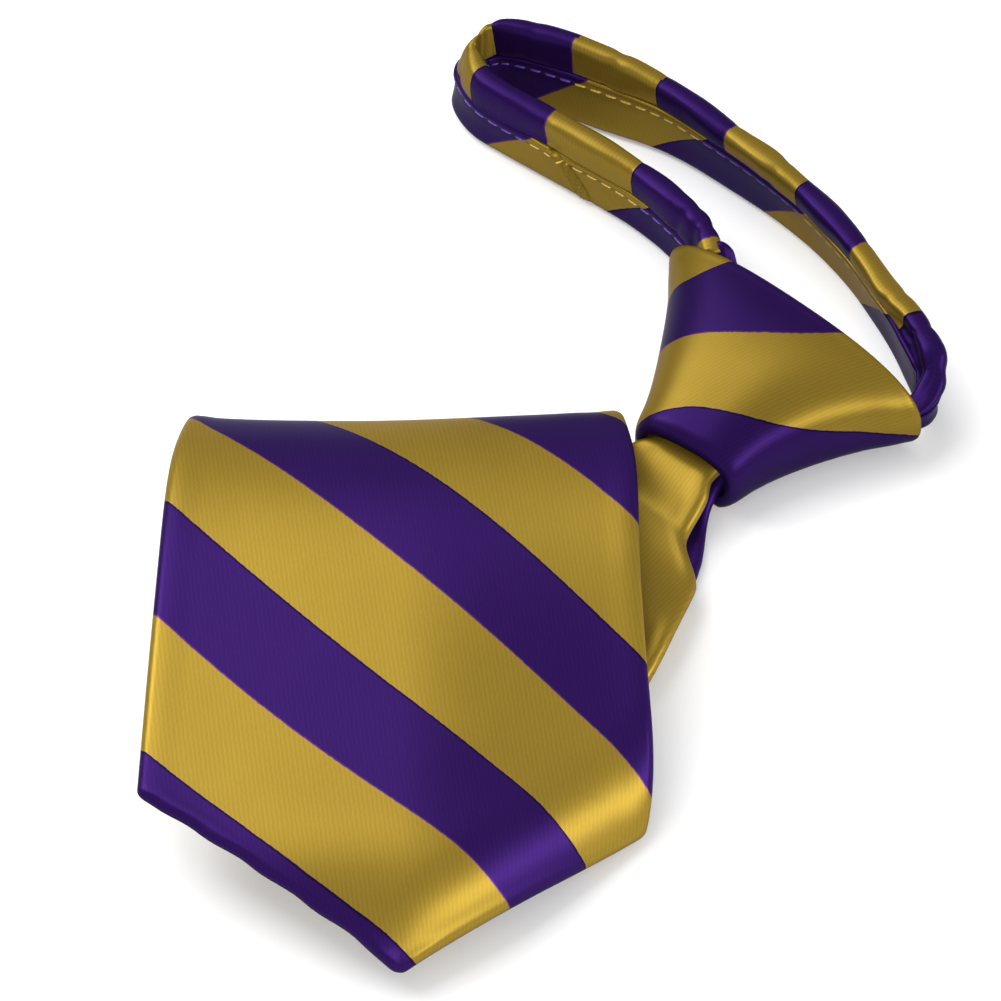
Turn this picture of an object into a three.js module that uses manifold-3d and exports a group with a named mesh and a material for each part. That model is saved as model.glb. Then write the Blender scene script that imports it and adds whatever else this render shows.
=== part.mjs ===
// A zipper tie with diagonal satin stripes, laid down with its neck loop closed and its blade folded.
// Millimetres and degrees, +Z up. The tie lies on z = 0 with its front side up.
import * as THREE from "three";
import Module from "manifold-3d";

// Blade
const bladeWidth = 77; // across the two corners above the point
const bladeThickness = 2.4; // padded cloth, both faces
const pointLength = 25.6; // from the corner line to the tip, along the cloth
const firstLength = 56.4; // knot mouth to the slanted fold
const middleLength = 50.7; // slanted fold to the top fold
const faceLength = 105; // top fold to the tip, along the cloth
const tipWidth = 3.2; // blunt end of the point
const slantedFoldAngle = 22.5; // fold line against straight across
const slantedFoldRadius = 2.7; // middle of the cloth
const edgeDropWidth = 15; // strip along the right edge of the point that bends down, at the corner
const edgeDropTip = 7; // the same strip at the tip
const edgeDropRadius = 13;
const rightSag = 5; // the right corner lies lower than the left one by about this much

// Knot
const knotWidth = 51.2; // along the collar edge
const knotLength = 30.4; // collar to mouth
const knotHeight = 16.4;
const knotSkew = 0.12; // the collar edge runs aslant by this share of its width
const wrapThickness = 2.2;
const coreLength = 22.5;
const coreRise = 2.4; // the core stands out of the collar by this much

// Neck band
const bandHeight = 13.8;
const casingHeight = 8.6;
const casingThickness = 3.4; // both leaves and what lies between them
const casingLeaf = 1; // one leaf, cloth folded double
const hemBulge = 0.4; // the hem fold stands proud of the leaf by this much
const rollThickness = 4.3;
const loopReach = 78; // collar middle to the far turn
const loopSpread = 29; // knot side to the outer side

// Tail and zipper
const tailLength = 34;
const tailWidth = 28;
const tailThickness = 2.2;
const zipperWidth = 5;
const zipperThickness = 0.9;
const zipperLength = 32;

// Fits and directions
const clearance = 0.35; // between pieces that touch
const mouthInset = 6; // length of blade and tail inside the knot's mouth
const knotHeading = -126; // collar to mouth, from +X
const bladeHeading = -135; // knot mouth to the slanted fold, from +X
const tailHeading = -120;

// Blade edges: at is a share of the blade's length, left and right are shares of half its width.
const bladeEdges = [
  { at: -0.03, left: 0.165, right: 0.15 },
  { at: 0.0, left: 0.178, right: 0.155 },
  { at: 0.019, left: 0.2, right: 0.208 },
  { at: 0.042, left: 0.215, right: 0.247 },
  { at: 0.052, left: 0.225, right: 0.285 },
  { at: 0.068, left: 0.245, right: 0.42 },
  { at: 0.078, left: 0.27, right: 0.468 },
  { at: 0.16, left: 0.5, right: 0.65 },
  { at: 0.278, left: 0.75, right: 0.765 },
  { at: 0.42, left: 0.84, right: 0.84 },
  { at: 0.53, left: 0.877, right: 0.872 },
  { at: 0.6, left: 0.925, right: 0.915 },
  { at: 0.7, left: 0.95, right: 0.925 },
  { at: 1.0, left: 0.99, right: 1.03 },
];

// Pitch of the cloth along its middle, beyond the slanted fold: at is a share of the middle
// length up to 1, then 1 plus a share of the face length. 0 runs away level, 180 comes back.
const foldPitch = [
  { at: 0.0, pitch: 0 },
  { at: 0.5, pitch: 0.5 },
  { at: 0.96, pitch: 1 },
  { at: 1.0, pitch: 25 },
  { at: 1.03, pitch: 90 },
  { at: 1.06, pitch: 140 },
  { at: 1.13, pitch: 160 },
  { at: 1.21, pitch: 171 },
  { at: 1.3, pitch: 180 },
  { at: 1.42, pitch: 186 },
  { at: 1.6, pitch: 187 },
  { at: 1.78, pitch: 182 },
  { at: 1.86, pitch: 190 },
  { at: 1.93, pitch: 207 },
  { at: 2.0, pitch: 215 },
];

// Ripples of the first length: at is a share of it, lift a share of the blade's thickness.
const ripples = [
  { at: 0.0, lift: 0.6 },
  { at: 0.1, lift: 0.9 },
  { at: 0.26, lift: 0.05 },
  { at: 0.44, lift: 0.7 },
  { at: 0.62, lift: 0.1 },
  { at: 1.0, lift: 0.0 },
];

// Knot sections from collar to mouth: at is a share of the length, width and height are shares.
const knotSections = [
  { at: -0.03, width: 0.93, height: 0.86 },
  { at: 0.0, width: 1.0, height: 0.98 },
  { at: 0.07, width: 0.965, height: 1.02 },
  { at: 0.25, width: 0.805, height: 1.03 },
  { at: 0.5, width: 0.625, height: 0.98 },
  { at: 0.75, width: 0.475, height: 0.87 },
  { at: 0.95, width: 0.395, height: 0.76 },
  { at: 1.0, width: 0.37, height: 0.7 },
];

// Route of the neck band's middle line from knot to knot: along is a share of the loop's reach to
// the right of the collar middle, out a share of its spread, lean the tilt of its top edge inwards,
// lift and tall the height of its lower edge and of the band, as shares of the band's height.
const bandRoute = [
  { along: -0.232, out: 0.028, lean: 6, lift: 0, tall: 1 },
  { along: -0.262, out: 0.14, lean: 5, lift: 0, tall: 1 },
  { along: -0.302, out: 0.238, lean: 3, lift: 0, tall: 1 },
  { along: -0.38, out: 0.325, lean: 0, lift: 0, tall: 1 },
  { along: -0.487, out: 0.386, lean: 0, lift: 0, tall: 1 },
  { along: -0.6, out: 0.405, lean: 0, lift: 0, tall: 1 },
  { along: -0.83, out: 0.42, lean: 0, lift: 0, tall: 1 },
  { along: -0.907, out: 0.432, lean: 3, lift: 0, tall: 1 },
  { along: -0.96, out: 0.483, lean: 7, lift: 0, tall: 1 },
  { along: -0.996, out: 0.56, lean: 9, lift: 0, tall: 1 },
  { along: -1.003, out: 0.65, lean: 9, lift: 0, tall: 1 },
  { along: -0.995, out: 0.76, lean: 8, lift: 0, tall: 1 },
  { along: -0.965, out: 0.85, lean: 6, lift: 0, tall: 1 },
  { along: -0.9, out: 0.915, lean: 4, lift: 0, tall: 1 },
  { along: -0.8, out: 0.975, lean: 2, lift: 0, tall: 1 },
  { along: -0.597, out: 1.02, lean: 3, lift: 0, tall: 1 },
  { along: -0.374, out: 0.95, lean: 5, lift: 0, tall: 1 },
  { along: -0.228, out: 0.893, lean: 7, lift: 0, tall: 1 },
  { along: -0.068, out: 0.77, lean: 8, lift: 0, tall: 1 },
  { along: 0.094, out: 0.552, lean: 8, lift: 0, tall: 1 },
  { along: 0.217, out: 0.324, lean: 5, lift: 0, tall: 0.98 },
  { along: 0.274, out: 0.186, lean: 2, lift: 0.06, tall: 0.9 },
  { along: 0.3, out: 0.086, lean: 0, lift: 0.18, tall: 0.76 },
  { along: 0.304, out: -0.041, lean: 0, lift: 0.3, tall: 0.6 },
  { along: 0.27, out: -0.141, lean: 0, lift: 0.36, tall: 0.5 },
  { along: 0.21, out: -0.214, lean: 0, lift: 0.36, tall: 0.5 },
];

// Tail edges: at is a share of the tail's length, width a share of its width.
const tailEdges = [
  { at: -0.17, width: 0.4 },
  { at: 0.0, width: 0.4 },
  { at: 0.14, width: 0.46 },
  { at: 0.4, width: 0.74 },
  { at: 0.8, width: 0.92 },
  { at: 1.0, width: 0.92 },
];

const wasm = await Module();
wasm.setup();

const radians = THREE.MathUtils.degToRad;
const headingVector = (degrees) =>
  new THREE.Vector3(Math.cos(radians(degrees)), Math.sin(radians(degrees)), 0);

// Value of one column of a table at a place, on a smooth curve through its rows.
function readTable(table, at, column) {
  const last = table.length - 1;
  if (at <= table[0].at) return table[0][column];
  if (at >= table[last].at) return table[last][column];
  let row = 0;
  while (table[row + 1].at < at) row++;
  const slope = (i) => {
    const before = table[Math.max(i - 1, 0)];
    const after = table[Math.min(i + 1, last)];
    return (after[column] - before[column]) / (after.at - before.at);
  };
  const span = table[row + 1].at - table[row].at;
  const t = (at - table[row].at) / span;
  const rise = THREE.MathUtils.lerp(table[row][column], table[row + 1][column], t);
  const chord = (table[row + 1][column] - table[row][column]) / span;
  const bow = (slope(row) - chord) * (1 - t) - (slope(row + 1) - chord) * t;
  return rise + bow * span * t * (1 - t);
}

const smoothStep = (value, from, to) => THREE.MathUtils.smoothstep(value, from, to);

// Closed solid through sections that all have the same even number of points. Point k of a section
// lies opposite point count - 1 - k, which is how the two end caps are filled.
function loft(sections) {
  const count = sections[0].length;
  const positions = sections.flat().flatMap((p) => [p.x, p.y, p.z]);
  const index = [];
  for (let s = 0; s < sections.length - 1; s++) {
    for (let k = 0; k < count; k++) {
      const next = (k + 1) % count;
      const a = s * count + k;
      const b = s * count + next;
      index.push(a, a + count, b, b, a + count, b + count);
    }
  }
  const cap = (start, flip) => {
    for (let k = 0; k < count / 2 - 1; k++) {
      const quad = [k, k + 1, count - 2 - k, count - 1 - k].map((i) => start + i);
      const faces = [quad[0], quad[1], quad[2], quad[0], quad[2], quad[3]];
      index.push(...(flip ? faces.reverse() : faces));
    }
  };
  cap(0, false);
  cap((sections.length - 1) * count, true);
  return facingOut(positions, index);
}

// Closed ring-shaped solid: the sections are closed loops, and the last joins the first.
function loftRing(sections) {
  const count = sections[0].length;
  const positions = sections.flat().flatMap((p) => [p.x, p.y, p.z]);
  const index = [];
  for (let s = 0; s < sections.length; s++) {
    const after = (s + 1) % sections.length;
    for (let k = 0; k < count; k++) {
      const next = (k + 1) % count;
      const a = s * count + k;
      const b = s * count + next;
      const c = after * count + k;
      const d = after * count + next;
      index.push(a, c, b, b, c, d);
    }
  }
  return facingOut(positions, index);
}

// Geometry from shared points and faces, turned so that its faces point out.
function facingOut(positions, index) {
  let volume = 0;
  const corner = (i) => new THREE.Vector3().fromArray(positions, 3 * index[i]);
  for (let i = 0; i < index.length; i += 3) {
    volume += corner(i).dot(corner(i + 1).cross(corner(i + 2)));
  }
  if (volume < 0) index.reverse();
  return new THREE.BufferGeometry()
    .setAttribute("position", new THREE.Float32BufferAttribute(positions, 3))
    .setIndex(index);
}

function toSolid(geometry) {
  return new wasm.Manifold(
    new wasm.Mesh({
      numProp: 3,
      vertProperties: new Float32Array(geometry.getAttribute("position").array),
      triVerts: new Uint32Array(geometry.index.array),
    }),
  );
}

function toGeometry(solid) {
  const mesh = solid.getMesh();
  return new THREE.BufferGeometry()
    .setAttribute("position", new THREE.BufferAttribute(mesh.vertProperties, 3))
    .setIndex(new THREE.BufferAttribute(mesh.triVerts, 1));
}

// Knot frame: origin on the surface below the middle of the collar edge.
const knotDown = headingVector(knotHeading);
const knotRight = headingVector(knotHeading + 90);

// Point of the knot's frame: across to the right, down towards the mouth, height.
function knotPoint(across, down, height) {
  return new THREE.Vector3()
    .addScaledVector(knotRight, across)
    .addScaledVector(knotDown, down)
    .setZ(height);
}

// Rounded section of the knot, flat where it lies on the surface. inset moves it inwards.
function knotSection(at, inset, points) {
  const halfWidth = (readTable(knotSections, at, "width") * knotWidth) / 2 - inset;
  const top = readTable(knotSections, at, "height") * knotHeight - inset;
  const middle = 0.36 * knotHeight;
  const fullness = 0.78;
  return Array.from({ length: points }, (_, k) => {
    const turn = Math.PI - (2 * Math.PI * (k + 0.5)) / points;
    const side = Math.cos(turn);
    const up = Math.sin(turn);
    const across = halfWidth * Math.sign(side) * Math.abs(side) ** fullness;
    const reach = up > 0 ? top - middle : middle + 1.6 - inset;
    const height = middle + reach * Math.sign(up) * Math.abs(up) ** fullness;
    const down = at * knotLength + knotSkew * across * (1 - smoothStep(at, 0, 1));
    return knotPoint(across, down, Math.max(height, Math.max(inset, 0)));
  });
}

const knotPoints = 28;

// Sleeve of the knot: outer sections from collar to mouth, then inner ones back.
function makeKnotWrap() {
  const stations = [0, 0.03, 0.09, 0.2, 0.35, 0.5, 0.65, 0.8, 0.92, 0.985];
  const outer = stations.map((at) => knotSection(at, 0, knotPoints));
  const rimMouth = knotSection(1, wrapThickness * 0.4, knotPoints);
  const inner = stations
    .map((at) => knotSection(at, wrapThickness, knotPoints))
    .reverse();
  const rimCollar = knotSection(-0.03, wrapThickness * 0.5, knotPoints);
  return loftRing([...outer, rimMouth, ...inner, rimCollar]);
}

// Inner wraps: they fill the sleeve and stand out of the collar in a low roll.
function makeKnotCore() {
  const inset = wrapThickness + clearance;
  const rise = -coreRise / knotLength;
  const end = coreLength / knotLength;
  const stations = [rise * 0.6, 0.02, 0.15, 0.35, 0.55, end];
  const sections = stations.map((at) => knotSection(at, inset, knotPoints));
  const crown = knotSection(rise, inset + 2, knotPoints);
  return loft([crown, ...sections]);
}

// Everything that the knot takes up, with the gap that its neighbours keep.
function makeKnotHull() {
  const rise = -(coreRise + clearance) / knotLength;
  const end = 1 + clearance / knotLength;
  const stations = [rise, 0, 0.03, 0.09, 0.2, 0.35, 0.5, 0.65, 0.8, 0.92, end];
  return loft(stations.map((at) => knotSection(at, -clearance, knotPoints)));
}

// Neck band: sections stand upright across a closed-up route and lean where it leans.
const bandSteps = 52;

function bandFrames() {
  const points = bandRoute.map((row) =>
    knotPoint(row.along * loopReach, -row.out * loopSpread, 0),
  );
  const curve = new THREE.CatmullRomCurve3(points, false, "centripetal");
  const up = new THREE.Vector3(0, 0, 1);
  return Array.from({ length: bandSteps + 1 }, (_, i) => {
    const share = i / bandSteps;
    const place = curve.getUtoTmapping(share);
    const tangent = curve.getTangent(place).setZ(0).normalize();
    const row = place * (bandRoute.length - 1);
    const low = Math.min(Math.floor(row), bandRoute.length - 2);
    const between = (column) =>
      THREE.MathUtils.lerp(bandRoute[low][column], bandRoute[low + 1][column], row - low);
    return {
      middle: curve.getPoint(place),
      side: new THREE.Vector3().crossVectors(tangent, up),
      shear: Math.tan(radians(between("lean"))),
      lift: between("lift") * bandHeight,
      tall: between("tall"),
    };
  });
}

// Carries a profile of {side, height} points along the band. Positive side is the inner face.
function sweepBand(profile) {
  return loft(
    bandFrames().map((frame) =>
      profile.map(({ side, height }) =>
        frame.middle
          .clone()
          .addScaledVector(frame.side, side + height * frame.tall * frame.shear)
          .setZ(frame.lift + height * frame.tall),
      ),
    ),
  );
}

function makeCasing() {
  const half = casingThickness / 2;
  const hem = half + hemBulge;
  const inside = half - casingLeaf;
  const hemStart = 0.8 * casingHeight;
  const floorLeaf = 1.3 * casingLeaf;
  const outline = [
    { side: hem - 0.25, height: casingHeight },
    { side: hem, height: 0.92 * casingHeight },
    { side: half, height: hemStart },
    { side: half, height: 0.1 * casingHeight },
    { side: half * 0.65, height: 0 },
  ];
  const hollow = [
    { side: inside + 0.25, height: casingHeight },
    { side: inside + 0.25, height: 0.92 * casingHeight },
    { side: inside, height: hemStart },
    { side: inside, height: 1.4 * floorLeaf },
    { side: inside * 0.9, height: floorLeaf },
  ];
  const mirror = (points) =>
    points.map(({ side, height }) => ({ side: -side, height }));
  return sweepBand([
    ...outline,
    ...mirror(outline).reverse(),
    ...mirror(hollow),
    ...[...hollow].reverse(),
  ]);
}

function makeRoll() {
  const tongue = casingThickness / 2 - casingLeaf - clearance;
  const foot = 1.3 * casingLeaf + clearance;
  const half = rollThickness / 2;
  const bulb = bandHeight - casingHeight - clearance;
  const start = casingHeight + clearance;
  const right = [
    { side: tongue * 0.8, height: foot },
    { side: tongue, height: start - 0.2 },
    { side: half * 0.8, height: start + 0.14 * bulb },
    { side: half, height: start + 0.42 * bulb },
    { side: half * 0.86, height: start + 0.72 * bulb },
    { side: half * 0.4, height: start + bulb },
  ];
  const left = right.map(({ side, height }) => ({ side: -side, height }));
  return sweepBand([...right, ...left.reverse()]);
}

// Blade: a strip with flat coordinates, along from the knot's mouth and across to its right edge.
const bladeLength = firstLength + middleLength + faceLength;
const mouth = knotPoint(0, knotLength, 0);
const bladeForward = headingVector(bladeHeading);
const bladeRight = headingVector(bladeHeading + 90);
const foldAcross = Math.sin(radians(slantedFoldAngle));
const foldAlong = Math.cos(radians(slantedFoldAngle));
const restHeight = bladeThickness / 2;
const overTail = tailThickness + 1.3 * clearance + bladeThickness / 2;
const inMouth = wrapThickness + tailThickness + 3 * clearance + bladeThickness / 2;

// Height of the first length: out of the mouth, over the tail and down to the surface.
function firstHeight(along, across, pastFold) {
  const leaving = 1 - smoothStep(along, 0, 10);
  const resting = smoothStep(pastFold, -14, -2);
  const base = THREE.MathUtils.lerp(overTail, restHeight + 0.05, resting);
  const ripple = readTable(ripples, along / firstLength, "lift") * bladeThickness;
  const toEdge = smoothStep(across, 0, 0.4 * bladeWidth);
  return THREE.MathUtils.lerp(base, inMouth, leaving) + ripple * toEdge * (1 - leaving);
}

// Middle line beyond the slanted fold, walked in small steps: away from the fold and height.
const walkStep = 0.25;
const foldWalk = (() => {
  const steps = Math.ceil((middleLength + faceLength + 4) / walkStep);
  const walk = [{ away: 0, height: 0 }];
  for (let i = 0; i < steps; i++) {
    const along = (i + 0.5) * walkStep;
    const share =
      along < middleLength ? along / middleLength : 1 + (along - middleLength) / faceLength;
    const pitch = radians(readTable(foldPitch, share, "pitch"));
    const last = walk[i];
    walk.push({
      away: last.away + walkStep * Math.cos(pitch),
      height: last.height + walkStep * Math.sin(pitch),
    });
  }
  return walk;
})();

function walkTo(along) {
  if (along < 0) return { away: along, height: 0 };
  const place = THREE.MathUtils.clamp(along / walkStep, 0, foldWalk.length - 1.001);
  const low = Math.floor(place);
  const mix = place - low;
  return {
    away: THREE.MathUtils.lerp(foldWalk[low].away, foldWalk[low + 1].away, mix),
    height: THREE.MathUtils.lerp(foldWalk[low].height, foldWalk[low + 1].height, mix),
  };
}

// The strip along the point's right edge bends down round a line that runs beside that edge.
function edgeDrop(beyond, across) {
  const cornerLine = faceLength - pointLength;
  const halfWidth = bladeWidth / 2;
  const taper = (edgeDropWidth - edgeDropTip) / Math.hypot(pointLength, halfWidth);
  const lineAngle = Math.atan2(pointLength, halfWidth) + Math.atan(taper);
  const cos = Math.cos(lineAngle);
  const sin = Math.sin(lineAngle);
  const outward = (beyond - cornerLine) * cos + (across - halfWidth) * sin;
  const bent = outward + edgeDropWidth;
  if (bent <= 0) return { beyond, across, drop: 0 };
  const turn = bent / edgeDropRadius;
  const pull = bent - edgeDropRadius * Math.sin(turn);
  return {
    beyond: beyond - pull * cos,
    across: across - pull * sin,
    drop: edgeDropRadius * (1 - Math.cos(turn)),
  };
}

// Point of the blade's middle surface for flat coordinates.
function bladePoint(along, across) {
  const pastCentre = along - firstLength;
  const past = pastCentre * foldAlong + across * foldAcross;
  const beside = across * foldAlong - pastCentre * foldAcross;
  const foldForward = headingVector(bladeHeading + slantedFoldAngle);
  const foldRight = headingVector(bladeHeading + slantedFoldAngle + 90);
  const origin = mouth.clone().addScaledVector(bladeForward, firstLength);
  if (past <= 0) {
    return origin
      .addScaledVector(foldForward, past)
      .addScaledVector(foldRight, beside)
      .setZ(firstHeight(along, across, past));
  }
  const base = restHeight + 0.05;
  const halfTurn = Math.PI * slantedFoldRadius;
  if (past < halfTurn) {
    const turn = past / slantedFoldRadius;
    return origin
      .addScaledVector(foldForward, slantedFoldRadius * Math.sin(turn))
      .addScaledVector(foldRight, beside)
      .setZ(base + slantedFoldRadius * (1 - Math.cos(turn)));
  }
  const bent =
    pastCentre > middleLength
      ? edgeDrop(pastCentre - middleLength, across)
      : { beyond: pastCentre - middleLength, across, drop: 0 };
  const walked = walkTo(bent.beyond + middleLength);
  const middleHeading = bladeHeading + 2 * slantedFoldAngle + 180;
  const sag =
    rightSag *
    smoothStep(across, 0, 0.5 * bladeWidth) *
    smoothStep(pastCentre - middleLength, 0.1 * faceLength, 0.75 * faceLength);
  return origin
    .addScaledVector(foldForward, halfTurn)
    .addScaledVector(headingVector(middleHeading), walked.away)
    .addScaledVector(headingVector(middleHeading - 90), bent.across)
    .setZ(base + 2 * slantedFoldRadius + walked.height - bent.drop - sag);
}

// Flat rows of the blade: where each crosses the middle line, and how far it runs to each side.
function bladeRows() {
  const corner = bladeLength - pointLength;
  const places = [
    [-mouthInset, 22, 9],
    [22, firstLength - 8, 5],
    [firstLength - 8, firstLength + 16, 10],
    [firstLength + 16, firstLength + middleLength - 4, 3],
    [firstLength + middleLength - 4, firstLength + middleLength + 10, 9],
    [firstLength + middleLength + 10, corner - 8, 9],
    [corner - 8, bladeLength, 13],
  ].flatMap(([from, to, steps]) =>
    Array.from({ length: steps }, (_, i) => from + ((to - from) * i) / steps),
  );
  places.push(bladeLength);
  const slantReach = 30;
  return places.map((along) => {
    const share = along / bladeLength;
    const toPoint = Math.max(0, along - corner) / pointLength;
    const nearFold = 1 - Math.abs(along - (firstLength + 5)) / slantReach;
    const slant = -Math.tan(radians(slantedFoldAngle)) * smoothStep(nearFold, 0, 0.75);
    const half = bladeWidth / 2;
    const narrow = (side) =>
      THREE.MathUtils.lerp(readTable(bladeEdges, share, side) * half, tipWidth / 2, toPoint);
    return { along, slant, left: narrow("left"), right: narrow("right") };
  });
}

function makeBlade() {
  const columns = 14;
  const probe = 0.05;
  const sections = bladeRows().map((row) => {
    const top = [];
    const under = [];
    for (let k = 0; k <= columns; k++) {
      const share = -Math.cos((Math.PI * k) / columns) * 0.35 + (2 * k / columns - 1) * 0.65;
      const across = share < 0 ? share * row.left : share * row.right;
      const along = row.along + row.slant * across;
      const here = bladePoint(along, across);
      const ahead = bladePoint(along + probe, across).sub(bladePoint(along - probe, across));
      const beside = bladePoint(along, across + probe).sub(bladePoint(along, across - probe));
      const normal = ahead.cross(beside).normalize();
      const rounded = Math.sqrt(Math.max(0, 1 - Math.abs(share) ** 24));
      const half = (bladeThickness / 2) * (0.4 + 0.6 * rounded);
      top.push(here.clone().addScaledVector(normal, half));
      under.push(here.clone().addScaledVector(normal, -half));
    }
    return [...top, ...under.reverse()].map((p) => p.setZ(Math.max(p.z, 0)));
  });
  return loft(sections);
}

// Tail frame: from the knot's mouth, down its own heading.
const tailForward = headingVector(tailHeading);
const tailRight = headingVector(tailHeading + 90);

function tailPoint(across, along, height) {
  return mouth
    .clone()
    .addScaledVector(tailForward, along)
    .addScaledVector(tailRight, across)
    .setZ(height);
}

// Lift of the tail out of the surface where it goes into the knot's mouth.
const tailLift = (along) => (wrapThickness + clearance) * (1 - smoothStep(along, 0, 8.4));

function makeTail() {
  const stations = [-mouthInset, -2, 0.6, 3, 6, 9, 14, 20, 28, tailLength - 1, tailLength];
  const notch = zipperWidth / 2 + clearance;
  const notchTop = zipperThickness + clearance;
  return loft(
    stations.map((along) => {
      const width = readTable(tailEdges, along / tailLength, "width") * tailWidth;
      const half = width / 2 - (along === tailLength ? 1 : 0);
      const profile = [
        [-half, 0.5],
        [-half + 0.8, 1],
        [-notch, 1],
        [0, 1],
        [notch, 1],
        [half - 0.8, 1],
        [half, 0.5],
        [half - 0.8, 0],
        [notch, 0],
        [notch - 0.05, notchTop / tailThickness],
        [-notch + 0.05, notchTop / tailThickness],
        [-notch, 0],
        [-half + 0.8, 0],
        [-half, 0.3],
      ];
      return profile.map(([across, share]) =>
        tailPoint(across, along, tailLift(along) + share * tailThickness),
      );
    }),
  );
}

function makeZipper() {
  const start = tailLength - zipperLength;
  const stations = [start, 3, 5, 7, 9, 14, 22, tailLength - 1.5, tailLength - 0.8];
  const half = zipperWidth / 2;
  const profile = [
    [-half, 0.35],
    [-half + 0.4, 1],
    [half - 0.4, 1],
    [half, 0.35],
    [half - 0.3, 0],
    [-half + 0.3, 0],
  ];
  return loft(
    stations.map((along) =>
      profile.map(([across, share]) =>
        tailPoint(across, along, tailLift(along) + share * zipperThickness),
      ),
    ),
  );
}

const satin = (color) => new THREE.MeshStandardMaterial({ color, roughness: 0.45, metalness: 0 });
const goldSatin = satin(0xa58a36);
const purpleSatin = satin(0x3d1f6b);
const nylon = new THREE.MeshStandardMaterial({ color: 0x2f2350, roughness: 0.6, metalness: 0 });

function addPiece(group, name, geometry, material) {
  const mesh = new THREE.Mesh(geometry, material.clone());
  mesh.name = name;
  group.add(mesh);
}

const hull = toSolid(makeKnotHull());
const fitToKnot = (geometry) => toGeometry(toSolid(geometry).subtract(hull));

const tie = new THREE.Group();
addPiece(tie, "front_blade", makeBlade(), goldSatin);
addPiece(tie, "knot_wrap", makeKnotWrap(), purpleSatin);
addPiece(tie, "knot_core", makeKnotCore(), purpleSatin);
addPiece(tie, "neck_band_casing", fitToKnot(makeCasing()), goldSatin);
addPiece(tie, "neck_band_roll", fitToKnot(makeRoll()), purpleSatin);
addPiece(tie, "tail", makeTail(), purpleSatin);
addPiece(tie, "zipper", makeZipper(), nylon);

// The origin lies under the middle of the whole tie, on the surface.
const bounds = new THREE.Box3().setFromObject(tie);
const middle = bounds.getCenter(new THREE.Vector3());
tie.position.set(-middle.x, -middle.y, -bounds.min.z);

export default tie;
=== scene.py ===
# Zipper tie in purple and gold striped satin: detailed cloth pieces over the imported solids.
import math
import bpy
import numpy as np
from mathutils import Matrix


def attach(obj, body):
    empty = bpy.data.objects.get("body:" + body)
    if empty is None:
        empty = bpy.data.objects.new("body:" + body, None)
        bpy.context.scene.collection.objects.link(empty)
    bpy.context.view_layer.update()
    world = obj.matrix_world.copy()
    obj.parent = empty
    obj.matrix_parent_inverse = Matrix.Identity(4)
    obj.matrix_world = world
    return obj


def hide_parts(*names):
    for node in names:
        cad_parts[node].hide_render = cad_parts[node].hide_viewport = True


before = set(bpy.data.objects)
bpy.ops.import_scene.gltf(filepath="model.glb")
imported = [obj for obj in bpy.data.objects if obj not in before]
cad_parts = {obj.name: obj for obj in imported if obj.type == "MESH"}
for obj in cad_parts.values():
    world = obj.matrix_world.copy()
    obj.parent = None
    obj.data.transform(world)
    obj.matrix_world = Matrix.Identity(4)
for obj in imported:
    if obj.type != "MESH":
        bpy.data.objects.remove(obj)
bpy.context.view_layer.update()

millimetre = 0.001
layoutPlace = np.array([37.9826, 26.1272, 0.0])  # the knot's collar middle in the part's frame, mm


# Rises from 0 at low to 1 at high: three times t squared, less twice t cubed.
def smoothStep(x, low, high):
    t = np.clip((x - low) / (high - low), 0, 1)
    return t * t * (3 - 2 * t)


# e to the minus square of the distance from the centre, counted in widths.
def bell(x, centre, width):
    return np.exp(-(((x - centre) / width) ** 2))


# Level direction at an angle from +X: its cosine and sine.
def heading(degrees):
    a = math.radians(degrees)
    return np.array([math.cos(a), math.sin(a), 0.0])


# Smooth cubic through a table's rows. The first column is the place, and it is level beyond the ends.
def readTable(rows, at, column=1):
    x = np.array([row[0] for row in rows], float)
    y = np.array([row[column] for row in rows], float)
    slope = np.gradient(y, x)
    slope[1:-1] = (y[2:] - y[:-2]) / (x[2:] - x[:-2])
    q = np.clip(at, x[0], x[-1])
    i = np.clip(np.searchsorted(x, q, side="right") - 1, 0, len(x) - 2)
    span = x[i + 1] - x[i]
    t = (q - x[i]) / span
    chord = (y[i + 1] - y[i]) / span
    bow = (slope[i] - chord) * (1 - t) - (slope[i + 1] - chord) * t
    return y[i] + (y[i + 1] - y[i]) * t + bow * span * t * (1 - t)


# Soft smaller of two arrays: they join in a curve about soft wide.
def softMin(a, b, soft):
    h = np.clip(0.5 + 0.5 * (b - a) / soft, 0, 1)
    return b + (a - b) * h - soft * h * (1 - h)


# The camera looks down at the tie from the front.
view = {
    "target": (-8.417, -1.073, 0.0),  # mm
    "distance": 800.0,
    "elevation": 50.0,
    "lens": 185.17,  # on a 36 mm sensor
}


def makeCamera():
    data = bpy.data.cameras.new("camera")
    data.lens = view["lens"]
    data.sensor_width = 36
    camera = bpy.data.objects.new("camera", data)
    bpy.context.collection.objects.link(camera)
    tilt = math.radians(view["elevation"])
    x, y, z = view["target"]
    camera.location = (
        x * millimetre,
        (y - view["distance"] * math.cos(tilt)) * millimetre,
        (z + view["distance"] * math.sin(tilt)) * millimetre,
    )
    camera.rotation_euler = (math.pi / 2 - tilt, 0, 0)
    bpy.context.scene.camera = camera


# Soft boxes round the table: azimuth from +X and elevation in degrees, distance, width and height in metres,
# power in watts, and whether it casts a shadow. The two low ones only make the sheen.
softBoxes = {
    "back": (136, 55, 1.1, 0.9, 0.9, 8.2, True),
    "right": (-31, 29, 0.9, 1.0, 0.24, 6.2, False),
    "left": (158, 41, 0.9, 0.3, 0.3, 2.2, True),
    "front": (-118, 30, 1.2, 1.1, 0.5, 0.8, False),
}
worldStrength = 0.55


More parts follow.
